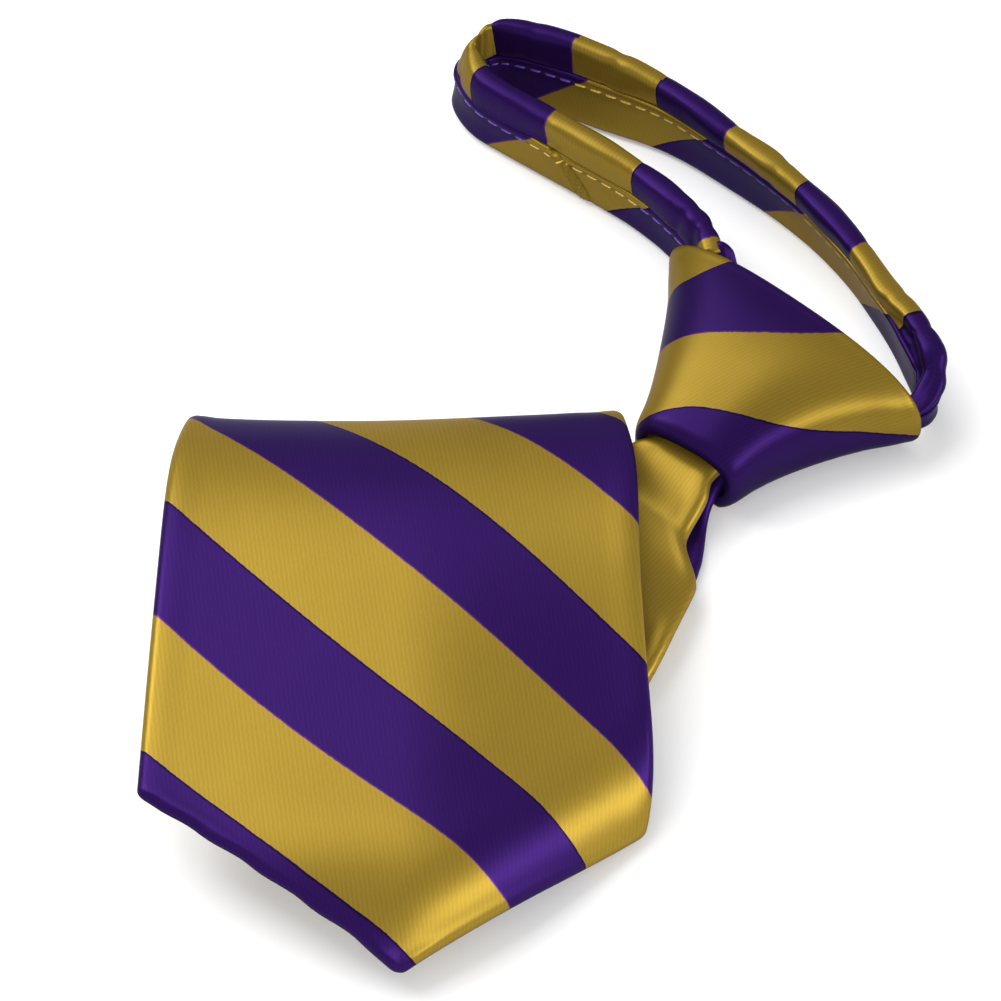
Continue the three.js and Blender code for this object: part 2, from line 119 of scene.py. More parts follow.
def makeLights():
    for name, (azimuth, elevation, distance, wide, tall, power, shadow) in softBoxes.items():
        data = bpy.data.lights.new(name, "AREA")
        data.shape = "RECTANGLE"
        data.size = wide
        data.size_y = tall
        data.energy = power
        data.use_shadow = shadow
        light = bpy.data.objects.new(name, data)
        bpy.context.collection.objects.link(light)
        a, e = math.radians(azimuth), math.radians(elevation)
        direction = (math.cos(a) * math.cos(e), math.sin(a) * math.cos(e), math.sin(e))
        light.location = [distance * c for c in direction]
        light.rotation_euler = (math.pi / 2 - e, 0, a + math.pi / 2)
    world = bpy.data.worlds.new("studio")
    bpy.context.scene.world = world
    world.use_nodes = True
    back = world.node_tree.nodes["Background"]
    back.inputs["Color"].default_value = (1, 1, 1, 1)
    back.inputs["Strength"].default_value = worldStrength
    bpy.context.scene.view_settings.view_transform = "Standard"


makeCamera()
makeLights()
print("camera and light")


# sRGB hex to linear colour.
def linearColour(hexValue):
    c = np.array([int(hexValue[i:i + 2], 16) / 255 for i in (0, 2, 4)])
    c = np.where(c <= 0.04045, c / 12.92, ((c + 0.055) / 1.055) ** 2.4)
    return (*c.tolist(), 1.0)


# Adds a node. inputs maps a socket's name or number to a value or to the socket that feeds it.
def addNode(tree, kind, inputs=None, **settings):
    node = tree.nodes.new(kind)
    for key, value in settings.items():
        setattr(node, key, value)
    for key, value in (inputs or {}).items():
        if isinstance(value, bpy.types.NodeSocket):
            tree.links.new(value, node.inputs[key])
        else:
            node.inputs[key].default_value = value
    return node


def newMaterial(name):
    material = bpy.data.materials.new(name)
    material.use_nodes = True
    tree = material.node_tree
    return material, tree, tree.nodes["Principled BSDF"]


satin = {
    "period": 30.7,  # mm, one gold and one purple stripe, square to the stripes
    "goldShare": 0.531,
    "goldStart": 120.3,  # mm, where one gold stripe's dark edge lies on the blade
    "line": 0.17,  # mm, thin line at a stripe's edge
    "gold": "8E752A",
    "blush": "8F6C52",
    "purple": "2C1452",
    "lilac": "43246A",
    "dark": "1C0A22",
    "twill": 0.67,  # mm from one twill line to the next
    "grain": 0.16,  # mm
    "fray": 0.22,  # mm that a stripe's edge wanders
    "relief": 0.04,  # mm
    "sheen": 0.55,  # share of the light that comes back in the thread's own colour
    "roughness": 0.36,
    "specular": 0.12,
    "specularTint": (0.3, 0.26, 0.3, 1.0),
}


# Woven satin polyester: smooth long floats of dyed filament. The sheen takes the thread's colour, so it is
# partly metallic, and fine twill lines break it up. Stripes read the piece's own "stripes" map, in mm. depth
# makes the whole cloth lighter or darker; below 1 it is painted shade, a darker copy of the same cloth.
def makeSatin(name, depth):
    material, tree, shader = newMaterial(name)
    stripes = addNode(tree, "ShaderNodeUVMap", uv_map="stripes")
    weave = addNode(tree, "ShaderNodeUVMap", uv_map="weave")
    across = addNode(tree, "ShaderNodeSeparateXYZ", {0: stripes.outputs[0]})
    fray = addNode(tree, "ShaderNodeTexNoise", {"Vector": weave.outputs[0], "Scale": 1.1, "Detail": 2.0})
    frayed = addNode(
        tree,
        "ShaderNodeMath",
        {0: fray.outputs[0], 1: satin["fray"], 2: across.outputs[0]},
        operation="MULTIPLY_ADD",
    )
    share = addNode(
        tree, "ShaderNodeMath", {0: frayed.outputs[0], 1: 1 / satin["period"]}, operation="MULTIPLY"
    )
    turn = addNode(tree, "ShaderNodeMath", {0: share.outputs[0]}, operation="FRACT")
    ramp = addNode(tree, "ShaderNodeValToRGB", {0: turn.outputs[0]})
    line = satin["line"] / satin["period"]
    soft = 0.15 * line
    edge = satin["goldShare"]
    before, after = edge - 0.8 * line, edge + 0.8 * line
    stops = [
        (0.0, "gold"), (before, "gold"), (before + soft, "blush"), (edge - soft, "blush"), (edge, "lilac"),
        (after, "lilac"), (after + soft, "purple"), (1 - 1.5 * line, "purple"), (1 - 1.4 * line, "dark"),
        (1.0, "dark"),
    ]
    ramp.color_ramp.elements[0].position = stops[0][0]
    ramp.color_ramp.elements[1].position = stops[-1][0]
    for position, _ in stops[1:-1]:
        ramp.color_ramp.elements.new(position)
    for element, (position, colour) in zip(ramp.color_ramp.elements, stops):
        element.position = position
        element.color = linearColour(satin[colour])
    # Blender's band wave repeats every 0.314 divided by its scale.
    twill = addNode(
        tree,
        "ShaderNodeTexWave",
        {"Vector": weave.outputs[0], "Scale": 0.314 / satin["twill"], "Distortion": 2.2, "Detail": 2.0,
         "Detail Scale": 1.6},
    )
    along = addNode(
        tree,
        "ShaderNodeMapping",
        {"Vector": weave.outputs[0], "Scale": (1 / satin["grain"], 0.28 / satin["grain"], 1.0)},
    )
    grain = addNode(tree, "ShaderNodeTexNoise", {"Vector": along.outputs[0], "Scale": 1.0, "Detail": 2.0})
    threads = addNode(
        tree, "ShaderNodeMix", {0: 0.55, 2: twill.outputs["Fac"], 3: grain.outputs[0]}, data_type="FLOAT"
    )
    shade = addNode(
        tree,
        "ShaderNodeMapRange",
        {"Value": threads.outputs[0], "From Min": 0.2, "From Max": 0.8, "To Min": 0.92, "To Max": 1.08},
    )
    patch = addNode(tree, "ShaderNodeTexNoise", {"Vector": weave.outputs[0], "Scale": 0.07, "Detail": 2.0})
    broad = addNode(
        tree,
        "ShaderNodeMapRange",
        {"Value": patch.outputs[0], "From Min": 0.3, "From Max": 0.7, "To Min": 0.97 * depth,
         "To Max": 1.03 * depth},
    )
    tone = addNode(tree, "ShaderNodeMath", {0: shade.outputs[0], 1: broad.outputs[0]}, operation="MULTIPLY")
    colour = addNode(
        tree,
        "ShaderNodeMix",
        {0: 1.0, 6: ramp.outputs[0], 7: tone.outputs[0]},
        data_type="RGBA",
        blend_type="MULTIPLY",
    )
    relief = addNode(
        tree,
        "ShaderNodeBump",
        {"Height": threads.outputs[0], "Strength": 0.12, "Distance": satin["relief"] * millimetre},
    )
    tree.links.new(colour.outputs[2], shader.inputs["Base Color"])
    tree.links.new(relief.outputs[0], shader.inputs["Normal"])
    shader.inputs["Metallic"].default_value = satin["sheen"]
    shader.inputs["Specular IOR Level"].default_value = satin["specular"]
    shader.inputs["Specular Tint"].default_value = satin["specularTint"]
    shader.inputs["Roughness"].default_value = satin["roughness"]
    return material


# Ribbed yarn: waves across the piece's "weave" map, rib mm from one to the next, shade it between two tones.
# relief is the ribs' height in mm.
def makeYarn(name, colour, rib, tones, roughness, relief=0, direction="X"):
    material, tree, shader = newMaterial(name)
    weave = addNode(tree, "ShaderNodeUVMap", uv_map="weave")
    ribs = addNode(
        tree,
        "ShaderNodeTexWave",
        {"Vector": weave.outputs[0], "Scale": 0.314 / rib},
        bands_direction=direction,
    )
    tone = addNode(
        tree, "ShaderNodeMapRange", {"Value": ribs.outputs["Fac"], "To Min": tones[0], "To Max": tones[1]}
    )
    mixed = addNode(
        tree,
        "ShaderNodeMix",
        {0: 1.0, 6: linearColour(colour), 7: tone.outputs[0]},
        data_type="RGBA",
        blend_type="MULTIPLY",
    )
    tree.links.new(mixed.outputs[2], shader.inputs["Base Color"])
    if relief:
        ridges = {"Height": ribs.outputs["Fac"], "Strength": 0.4, "Distance": relief * millimetre}
        tree.links.new(addNode(tree, "ShaderNodeBump", ridges).outputs[0], shader.inputs["Normal"])
    shader.inputs["Roughness"].default_value = roughness
    return material


# Matt white paper sweep: nothing but a faint soft shadow shows on it.
def makePaper(name):
    material, tree, shader = newMaterial(name)
    place = addNode(tree, "ShaderNodeTexCoord")
    fibre = addNode(tree, "ShaderNodeTexNoise", {"Vector": place.outputs["Object"], "Scale": 40.0})
    tone = addNode(
        tree, "ShaderNodeMapRange", {"Value": fibre.outputs[0], "To Min": 0.895, "To Max": 0.905}
    )
    tree.links.new(tone.outputs[0], shader.inputs["Base Color"])
    shader.inputs["Roughness"].default_value = 0.9
    shader.inputs["Specular IOR Level"].default_value = 0.2
    return material


wovenSatin = makeSatin("wovenSatinPolyester", depth=1.0)
# Knot and band: a darker copy of the satin, painted shade for the light their turned weave sends back less.
shadedSatin = makeSatin("shadedSatinPolyester", depth=0.76)
# Polyester sewing thread, two plies twisted: a soft gloss, pale against the cloth it is sewn through.
goldThread = makeYarn("paleGoldThread", "E2BC55", 0.35, (0.8, 1.1), 0.45, direction="DIAGONAL")
lilacThread = makeYarn("lilacThread", "6A42BE", 0.35, (0.8, 1.1), 0.45, direction="DIAGONAL")
# Woven nylon tape with a moulded coil: matt, a little lighter where the ridges of the weave catch light.
nylonTape = makeYarn("nylonZipperTape", "33235C", 0.5, (0.75, 1.15), 0.55, relief=0.08)
print("materials")


# Makes a mesh an object that rides on the part.
def finishPiece(name, mesh, materials):
    for material in materials:
        mesh.materials.append(material)
    piece = bpy.data.objects.new(name, mesh)
    bpy.context.collection.objects.link(piece)
    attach(piece, "root")
    return piece


# Puts a grid of points into a mesh. Rows run along the piece and each row is a closed ring, whose point k
# lies opposite its point count - 1 - k, which is how the ends are filled. ring=True joins the last row to the
# first. stripes and weave hold one column more than the grid, and one row more if ring, so that no face
# spans their jump.
def makePiece(name, points, stripes, weave, material, node, ring=False):
    rows, columns = points.shape[:2]
    i, j = np.meshgrid(np.arange(rows if ring else rows - 1), np.arange(columns), indexing="ij")
    i, j = i.ravel(), j.ravel()
    gridRow = np.stack([i, i + 1, i + 1, i], 1)
    gridColumn = np.stack([j, j, j + 1, j + 1], 1)
    if not ring:
        k = np.arange(columns // 2 - 1)
        cap = np.stack([k, k + 1, columns - 2 - k, columns - 1 - k], 1)
        gridRow = np.vstack([gridRow, np.zeros_like(cap), np.full_like(cap, rows - 1)])
        gridColumn = np.vstack([gridColumn, cap, cap[:, ::-1]])
    faces = (gridRow % rows) * columns + gridColumn % columns
    flat = (points + layoutPlace).reshape(-1, 3) * millimetre
    a, b, c, d = (flat[faces[:, n]] for n in range(4))
    volume = (a * np.cross(b, c)).sum() + (a * np.cross(c, d)).sum()
    if volume < 0:
        faces, gridRow, gridColumn = faces[:, ::-1], gridRow[:, ::-1], gridColumn[:, ::-1]
    mesh = bpy.data.meshes.new(name)
    mesh.vertices.add(len(flat))
    mesh.vertices.foreach_set("co", flat.ravel())
    mesh.loops.add(faces.size)
    mesh.loops.foreach_set("vertex_index", faces.ravel().astype(np.int32))
    mesh.polygons.add(len(faces))
    mesh.polygons.foreach_set("loop_start", np.arange(0, faces.size, 4, dtype=np.int32))
    mesh.polygons.foreach_set("use_smooth", np.ones(len(faces), bool))
    row, column = gridRow.ravel(), gridColumn.ravel()
    spread = np.stack([stripes[row, column], np.zeros(faces.size)], 1)
    mesh.uv_layers.new(name="stripes").data.foreach_set("uv", spread.ravel())
    mesh.uv_layers.new(name="weave").data.foreach_set("uv", weave[row, column].ravel())
    mesh.update(calc_edges=True)
    mesh.validate()
    piece = finishPiece(name, mesh, [material])
    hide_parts(node)
    return piece


# Puts blocks of columns side by side, each repeated down to the same number of rows.
def joinColumns(*blocks):
    rows = max(len(block) for block in blocks)
    return np.concatenate([np.broadcast_to(block, (rows, block.shape[1])) for block in blocks], 1)


# Repeats the first column after the last one.
def closeColumns(grid):
    return np.concatenate([grid, grid[:, :1]], 1)


# The knot, in mm, with its headings in degrees from +X
knot = {
    "width": 51.2,
    "length": 30.4,
    "height": 16.4,
    "middle": 0.36,  # height of the sections' widest place, as a share
    "skew": 0.12,
    "fullness": 0.78,
    "wrap": 2.2,
    "rimAt": 0.985,  # the sleeve's round rim starts at this share of the length
    "rimReach": 0.036,
    "heading": -126,
    "coreLength": 22.5,
    "coreRise": 2.4,
    "peak": 4.6,
    "gap": 0.35,
}
# Share of the length, width and height
knotSections = [
    (-0.03, 0.93, 0.86), (0.0, 1.0, 0.98), (0.07, 0.965, 1.02), (0.25, 0.805, 1.03),
    (0.5, 0.625, 0.98), (0.75, 0.475, 0.87), (0.95, 0.395, 0.76), (1.0, 0.37, 0.7),
]
# Edges of the knot's gold stripe: arc from the top middle, mm down from the collar of its two edges, and of
# the dark edge of the next gold above it.
knotStripe = [
    (-26, 18.8, 33.0, 7.6), (-21.8, 17.6, 32.6, 5.4), (-18.2, 16.7, 32.2, 3.6), (-14.3, 16.0, 31.2, -1.8),
    (-9.7, 13.8, 29.8, -8), (-4.9, 11.3, 26.8, -13), (-1.9, 9.5, 25.1, -16), (3.4, 5.9, 23.2, -20),
    (8.6, 1.2, 21.1, -24), (12.7, -2.6, 18.6, -28), (16.9, -6.5, 15.4, -32), (22.2, -11.5, 10.8, -36),
    (28.7, -17.6, 5.5, -42), (40, -28.2, -4.5, -50),
]
knotDown, knotRight = heading(knot["heading"]), heading(knot["heading"] + 90)


# The knot's own axes: so far to its right, so far down from the collar, so far up.
def knotPoint(across, down, height):
    across, down, height = np.broadcast_arrays(across, down, height)
    point = across[..., None] * knotRight + down[..., None] * knotDown
    point[..., 2] = height
    return point


# Rounded section at a share of the knot's length: a full oval, cosine and sine to the power of the fullness,
# flat where it lies on the surface. turn goes round it from the left (pi) over the top. inset moves the
# section inwards.
def knotSection(at, turn, inset):
    half = readTable(knotSections, at, 1) * knot["width"] / 2 - inset
    top = readTable(knotSections, at, 2) * knot["height"] - inset
    middle = knot["middle"] * knot["height"]
    side, up = np.cos(turn), np.sin(turn)
    across = half * np.sign(side) * np.abs(side) ** knot["fullness"]
    reach = np.where(up > 0, top - middle, middle + 1.6 - inset)
    height = middle + reach * np.sign(up) * np.abs(up) ** knot["fullness"]
    down = at * knot["length"] + knot["skew"] * across * (1 - smoothStep(at, 0, 1))
    return across, down, np.maximum(height, np.maximum(inset, 0))


# Length of arc round each row of points, from the row's place nearest the given column share.
def arcAcross(points, share):
    closed = closeColumns(points)
    steps = np.linalg.norm(np.diff(closed, axis=1), axis=2)
    arc = np.concatenate([np.zeros((len(points), 1)), np.cumsum(steps, 1)], 1)
    column = share * points.shape[1]
    low = int(column)
    return arc - (arc[:, low] + (arc[:, low + 1] - arc[:, low]) * (column - low))[:, None]


# Stripe measure on the knot: mm square to the stripe, from the lower edge of the gold stripe upwards.
def knotStripes(arc, down):
    upper, lower, patch = (readTable(knotStripe, arc, n) for n in (1, 2, 3))
    gold = satin["goldShare"] * satin["period"]
    within = gold * (lower - down) / (lower - upper)
    above = gold + (satin["period"] - gold) * (upper - down) / (upper - patch)
    below = -0.95 * (down - lower)
    return np.where(down < upper, above, np.where(down > lower, below, within))


# Turns round one section, starting half a step past its left side.
def ringTurns(count):
    return np.pi - 2 * np.pi * (np.arange(count)[None, :] + 0.5) / count


# A sleeve: its sections run down its outside, round the mouth's rim, up its inside and round the other rim.
def makeKnotWrap():
    turn = ringTurns(168)
    rim = np.linspace(0, np.pi, 9)[1:-1]
    half, rimAt, reach = knot["wrap"] / 2, knot["rimAt"], knot["rimReach"]
    rows = [(at, 0.0) for at in np.linspace(0.0, rimAt, 84)]
    rows += [(rimAt + reach * math.sin(a), half * (1 - math.cos(a))) for a in rim]
    rows += [(at, knot["wrap"]) for at in np.linspace(rimAt, 0.0, 30)]
    rows += [(-reach * math.sin(a), half * (1 + math.cos(a))) for a in rim]
    at, inset = (np.array(c)[:, None] for c in zip(*rows))
    across, down, height = knotSection(at, turn, inset)
    points = knotPoint(across, down, height)
    # Both edges swell a little, and the cloth draws in just behind the mouth.
    swell = 0.04 * bell(at, 0.97, 0.035) - 0.08 * bell(at, 0.86, 0.06) + 0.25 * bell(at, 0.01, 0.03)
    outward = points - knotPoint(0.0, down, knot["middle"] * knot["height"])
    outward /= np.maximum(np.linalg.norm(outward, axis=2, keepdims=True), 1e-6)
    points = points + outward * (swell * (1 - inset / knot["wrap"]))[..., None]
    points[..., 2] = np.maximum(points[..., 2], 0.0)
    arc = arcAcross(points, 0.25)
    downs = closeColumns(down)
    stripes = knotStripes(arc, downs)
    stripes = np.vstack([stripes, stripes[:1]])
    weave = np.stack([arc + 0.5 * downs, downs], 2)
    weave = np.vstack([weave, weave[:1]])
    return makePiece(
        "knot_wrap_cloth", points, stripes, weave, shadedSatin, "knot_wrap", ring=True
    )


# The same sections inside the sleeve, with a crown that rises out of the collar as a quarter round.
def makeKnotCore():
    turn = ringTurns(120)
    base = knot["wrap"] + knot["gap"]
    rise = knot["coreRise"] / knot["length"]
    crown = np.linspace(0, np.pi / 2, 12)
    rows = [(-rise * math.cos(a), base + 2.6 * (1 - math.sin(a))) for a in crown]
    rows += [(at, base) for at in np.linspace(0.02, knot["coreLength"] / knot["length"], 20)]
    at, inset = (np.array(c)[:, None] for c in zip(*rows))
    # the inner wraps push up and out into a small peak beside the band
    peak = bell(turn, 2.6, 0.27) * (1 - smoothStep(at, -0.05, 0.02))
    across, down, height = knotSection(at - 0.06 * peak, turn, inset)
    height = height + knot["peak"] * peak
    points = knotPoint(across, down, height)
    arc = arcAcross(points, 0.25)
    downs = closeColumns(down)
    stripes = np.full_like(arc, -0.25 * satin["period"])  # purple all over
    weave = np.stack([arc, downs], 2)
    return makePiece("knot_core_cloth", points, stripes, weave, shadedSatin, "knot_core")


knotWrap = makeKnotWrap()
knotCore = makeKnotCore()
print("knot")


# The neck band, in mm
band = {
    "height": 13.8,
    "casingThick": 3.4,
    "leaf": 0.7,
    "hemBulge": 0.45,
    "stitchDrop": 1.6,  # from the hem's top down to the stitches
    "roll": 4.3,
    "reach": 78,
    "spread": 29,
    "gap": 0.35,
    "bias": 1.25,  # the casing's stripes run this far along for each mm up
    "endDrop": 0.4,  # the band's height falls by this share where it goes into the knot
    "endSpan": (175, 186),  # along the band
    "footOut": 3.4,  # the foot of the far side stands in towards the loop by this much
    "footAt": 90,
    "footWidth": 17,
    "joinAt": 32.4,  # the slanted join on the casing, at its lower end
    "joinSlope": 0.85,
}
# Stripes along the band: place, then turns of the stripe pattern. They mirror in the left turn.
casingStripes = [
    (2, -0.46), (30.1, 0.0), (54.8, 0.531), (66.9, 0.72), (79.0, 0.531), (102.8, 0.0), (126, -0.469),
    (151.4, -1.0), (197, -1.46),
]
rollStripes = [
    (-10, -0.98), (4.8, -0.469), (23.8, 0.0), (41.8, 0.531), (57.5, 1.0), (64.6, 1.25), (71.8, 1.0),
    (87.3, 0.531), (103.8, 0.0), (119.2, -0.469), (135.7, -1.0), (151.5, -1.469), (168, -2.0), (196, -2.46),
]
# Route of the band's middle line: along and out as shares of reach and spread, lean in degrees, lift, tall.
bandRoute = [
    (-0.232, 0.028, 6, 0, 1), (-0.262, 0.14, 5, 0, 1), (-0.302, 0.238, 3, 0, 1), (-0.38, 0.325, 0, 0, 1),
    (-0.487, 0.386, 0, 0, 1), (-0.6, 0.405, 0, 0, 1), (-0.83, 0.42, 0, 0, 1), (-0.907, 0.432, 3, 0, 1),
    (-0.96, 0.483, 7, 0, 1), (-0.996, 0.56, 9, 0, 1), (-1.003, 0.65, 9, 0, 1), (-0.995, 0.76, 8, 0, 1),
    (-0.965, 0.85, 6, 0, 1), (-0.9, 0.915, 4, 0, 1), (-0.8, 0.975, 2, 0, 1), (-0.597, 1.02, 3, 0, 1),
    (-0.374, 0.95, 5, 0, 1), (-0.228, 0.893, 7, 0, 1), (-0.068, 0.77, 8, 0, 1), (0.094, 0.552, 8, 0, 1),
    (0.217, 0.324, 5, 0, 0.98), (0.274, 0.186, 2, 0.06, 0.9), (0.3, 0.086, 0, 0.18, 0.76),
    (0.304, -0.041, 0, 0.3, 0.6), (0.27, -0.141, 0, 0.36, 0.5), (0.21, -0.214, 0, 0.36, 0.5),
]
# Place along the band and the hem's height there, mm
hemLine = [
    (0, 8.4), (20, 8.6), (40, 8.6), (58, 8.5), (72, 8.8), (84, 9.3), (100, 9.7), (122, 10.3), (142, 9.5),
    (158, 9.8), (172, 10.6), (194, 9.5),
]
# Padded roll: place along the band, width and height of its bulge as shares
rollShape = [
    (0, 0.85, 0.75), (3, 0.95, 0.9), (9, 1.05, 1.0), (16, 1.1, 1.04), (24, 1.0, 0.98), (31, 1.12, 1.04),
    (41, 1.05, 1.0), (50, 1.1, 1.04), (58, 1.0, 1.05), (65, 0.9, 1.15), (71, 0.9, 1.3), (77, 1.0, 1.36),
    (83, 1.05, 1.34), (90, 1.0, 1.3), (97, 1.06, 1.3), (104, 0.95, 1.18), (112, 1.08, 1.22), (120, 0.98, 1.1),
    (128, 1.08, 1.15), (136, 0.97, 1.02), (144, 1.07, 1.0), (152, 0.95, 0.9), (160, 1.0, 0.85),
    (168, 0.9, 0.95), (177, 1.0, 1.1), (186, 0.9, 1.0), (194, 0.85, 0.9),
]


# Even steps along a centripetal spline through the route's points, with the level direction to its inner
# side.
def bandFrames(count, first=0.0, last=1.0):
    table = np.array(bandRoute, float)
    p = knotPoint(table[:, 0] * band["reach"], -table[:, 1] * band["spread"], 0.0)
    rows = len(p)
    ends = np.vstack([2 * p[0] - p[1], p, 2 * p[-1] - p[-2]])
    fine = np.linspace(0, rows - 1, 2600)
    i = np.clip(fine.astype(int), 0, rows - 2)
    w = (fine - i)[:, None]
    p0, p1, p2, p3 = ends[i], ends[i + 1], ends[i + 2], ends[i + 3]
    pairs = ((p0, p1), (p1, p2), (p2, p3))
    d0, d1, d2 = (np.maximum(np.linalg.norm(b - a, axis=1) ** 0.5, 1e-4)[:, None] for a, b in pairs)
    leave = ((p1 - p0) / d0 - (p2 - p0) / (d0 + d1) + (p2 - p1) / d1) * d1
    reach = ((p2 - p1) / d1 - (p3 - p1) / (d1 + d2) + (p3 - p2) / d2) * d1
    q = p1 + leave * w + (3 * (p2 - p1) - 2 * leave - reach) * w**2 + (2 * (p1 - p2) + leave + reach) * w**3
    length = np.concatenate([[0], np.cumsum(np.linalg.norm(np.diff(q, axis=0), axis=1))])
    along = np.linspace(first * length[-1], last * length[-1], count)
    middle = np.stack([np.interp(along, length, q[:, n]) for n in range(3)], 1)
    tangent = np.gradient(middle, axis=0)
    tangent /= np.linalg.norm(tangent, axis=1)[:, None]
    row = np.interp(along, length, fine)
    lean, lift, tall = (np.interp(row, np.arange(rows), table[:, n]) for n in (2, 3, 4))
    return {
        "middle": middle,
        "side": np.cross(tangent, [0, 0, 1.0]),
        "tangent": tangent,
        "shear": np.tan(np.radians(lean))[:, None],
        "lift": (lift * band["height"])[:, None],
        "tall": tall[:, None],
        "along": along[:, None],
    }


# Carries profiles along the band: side is how far a point lies to the inner face, height how far up. The
# band leans by its shear, and its foot moves out most at footAt.
def bandPoints(frames, side, height):
    height = height * frames["tall"] * (1 - band["endDrop"] * smoothStep(frames["along"], *band["endSpan"]))
    foot = band["footOut"] * bell(frames["along"], band["footAt"], band["footWidth"])
    foot = foot * (1 - np.clip(height / 13, 0, 1))
    out = side + height * frames["shear"] + foot
    points = frames["middle"][:, None, :] + out[..., None] * frames["side"][:, None, :]
    points[..., 2] = frames["lift"] + height
    return points


# How far the casing's face stands from its middle at a height: round at the lower edge, with a hem that is
# double cloth and bulges, drawn in along the stitches.
def casingSide(height, hem):
    half = band["casingThick"] / 2
    foot = np.clip(height / 1.4, 0, 1)
    side = half * np.sqrt(1 - (1 - foot) ** 2)
    stitched = hem - band["stitchDrop"]
    side = side + band["hemBulge"] * smoothStep(height, stitched - 0.5, stitched + 0.6)
    side = side - 0.22 * bell(height, stitched, 0.3) - 0.12 * bell(height, 0.45 * hem, 0.22 * hem)
    crest = np.clip((height - hem + 0.55) / 0.55, 0, 1)
    return side - 0.5 * (1 - np.sqrt(1 - crest**2))


# Slow waves of the casing's face, as products of sines, and the slanted join on the near side, a ridge beside
# a groove, mm.
def casingWaves(along, height, sign):
    wave = 0.16 * np.sin(along / 4.7 + sign) * np.sin(height / 3.1) + 0.1 * np.sin(along / 2.3 + 2 * sign)
    past = along - band["joinAt"] - band["joinSlope"] * height
    join = 0.8 * bell(past, 0, 0.45) - 0.7 * bell(past, -1.05, 0.4) + 0.15 * bell(past, 2, 1.2)
    crease = -0.35 * bell(along, 68.5, 1.1) - 0.3 * bell(along, 177.5, 1.2)
    return wave * 0.55 + join * (sign < 0) + crease


# A trough of cloth: its outer faces and, a leaf's thickness inside them, its inner faces.
def makeCasing():
    frames = bandFrames(760, 0.014, 0.99)
    along = frames["along"]
    steps = 24
    t = np.linspace(0, 1, steps)
    rise = 0.5 - 0.5 * np.cos(np.pi * t)  # denser at the lower edge and at the hem
    hem = readTable(hemLine, along)
    outerHeight = rise[None, :] * hem
    outerSide = casingSide(outerHeight, hem)
    fade = smoothStep(outerHeight, 0.2, 2.0)
    plus = outerSide + casingWaves(along, outerHeight, 1) * fade
    minus = outerSide + casingWaves(along, outerHeight, -1) * fade
    floor = 1.3 * band["leaf"]
    innerHeight = floor + rise[None, :] * (hem - floor)
    innerSide = np.clip(casingSide(innerHeight, hem) - band["leaf"], 0.15, None)
    innerSide = innerSide * np.clip(0.3 + rise[None, :] * 8, 0, 1)
    side = np.concatenate([plus[:, ::-1], -minus, -innerSide[:, ::-1], innerSide], 1)
    height = np.concatenate([outerHeight[:, ::-1], outerHeight, innerHeight[:, ::-1], innerHeight], 1)
    points = bandPoints(frames, side, height)
    points[..., 2] = np.maximum(points[..., 2], 0.0)
    # way up the cloth from the lower edge: positive on the inner face, negative on the outer one
    up = np.concatenate([outerHeight[:, ::-1], -outerHeight, -innerHeight[:, ::-1], innerHeight], 1)
    measure = along - band["bias"] * up
    stripes = closeColumns(stripeTurns(casingStripes, measure))
    weave = closeColumns(np.stack([along + 0.4 * up, up + 0 * along], 2))
    return makePiece(
        "neck_band_casing_cloth", points, stripes, weave, shadedSatin, "neck_band_casing"
    )


# Stripe measure in mm from a table of places and turns.
def stripeTurns(table, measure):
    places, turns = zip(*table)
    return satin["period"] * np.interp(measure, places, turns)


# Half section of the roll from inside the casing to its top: share along it, share of half the roll's width,
# share of its height
rollProfile = [
    (0.0, 0.3, -0.2), (0.1, 0.5, -0.07), (0.18, 0.56, -0.015), (0.25, 0.82, 0.025), (0.38, 0.97, 0.12),
    (0.5, 1.0, 0.36), (0.65, 0.96, 0.66), (0.8, 0.76, 0.87), (0.92, 0.4, 0.98), (1.0, 0.0, 1.0),
]
# Place along the band, depth as a share of the roll's width, width, lean, mm
rollCreases = [
    (6.5, 0.22, 1.3, 1.5), (11.5, 0.1, 1.0, -1.0), (23.8, 0.06, 0.7, 0.0), (41.0, 0.05, 0.8, 0.0),
    (62.0, 0.1, 1.0, 1.0), (67.5, 0.3, 1.1, 0.8), (72.5, 0.16, 0.9, -0.6), (79.0, 0.07, 1.2, 1.2),
    (94.5, 0.12, 1.2, 1.4), (104.0, 0.06, 0.8, 0.0), (119.5, 0.06, 0.8, 0.0), (130.0, 0.08, 1.2, 1.0),
    (151.5, 0.06, 0.8, 0.0), (163.0, 0.1, 1.1, 1.2), (172.0, 0.12, 1.0, -1.0), (178.5, 0.2, 1.2, 0.6),
]


# How far the roll leans out over the casing, mm
def rollShift(along):
    return 1.3 * smoothStep(along, 160, 170) * (1 - smoothStep(along, 175, 184)) - 0.5 * bell(along, 45, 14)


